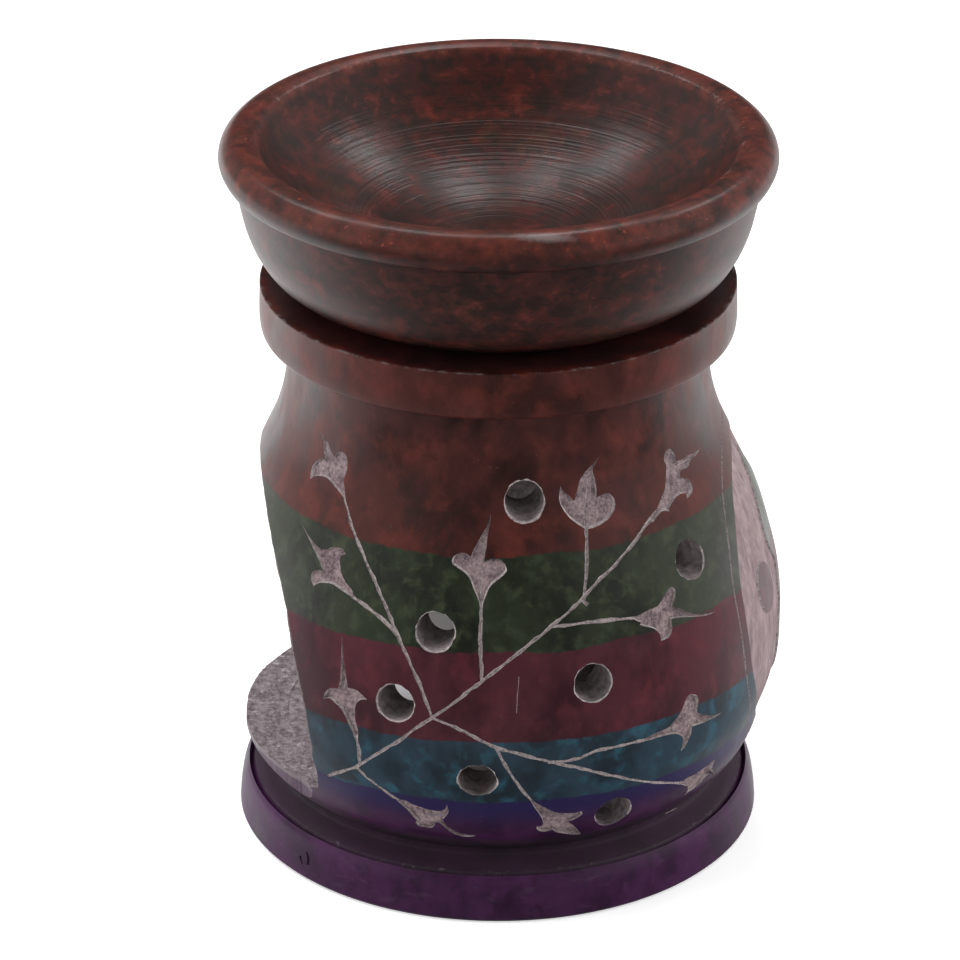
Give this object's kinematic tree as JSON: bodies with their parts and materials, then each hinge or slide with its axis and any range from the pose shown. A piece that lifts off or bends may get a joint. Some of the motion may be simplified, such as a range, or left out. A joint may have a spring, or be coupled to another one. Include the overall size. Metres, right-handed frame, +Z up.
{
  "type": "essential oil burner",
  "caption": "Turned soapstone oil burner with a loose dish, hollow pierced body, side doorway and a tealight inside.",
  "frame": {"origin": "centre of the flat underside of the foot, on the axis that the body was turned about", "axes": "+Z up along the turning axis, -Y towards the carved front, -X out of the tealight doorway, +X towards the medallion"},
  "size_m": [0.0739, 0.076, 0.0973],
  "materials": {
    "banded_stone": "turned soapstone, dyed in bands and waxed, raw where it is carved",
    "dish_stone": "turned soapstone, dyed red-brown and waxed",
    "cup_aluminium": "bright rolled sheet",
    "wax": "white paraffin wax",
    "wick_cotton": "braided cotton",
    "sustainer_steel": "tinned sheet"
  },
  "bodies": {
    "burner": {"burner_body": "banded_stone"},
    "bowl": {"oil_bowl": "dish_stone"},
    "tealight": {"tealight_cup": "cup_aluminium", "tealight_wax": "wax", "wick": "wick_cotton", "wick_sustainer": "sustainer_steel"}
  },
  "joints": [
    {"name": "bowl_lift", "type": "slide", "parent": "burner", "child": "bowl", "axis": [0, 0, 1], "range_m": [0, 0.06]},
    {"name": "tealight_slide", "type": "slide", "parent": "burner", "child": "tealight", "axis": [-1, 0, 0], "range_m": [0, 0.065]}
  ]
}
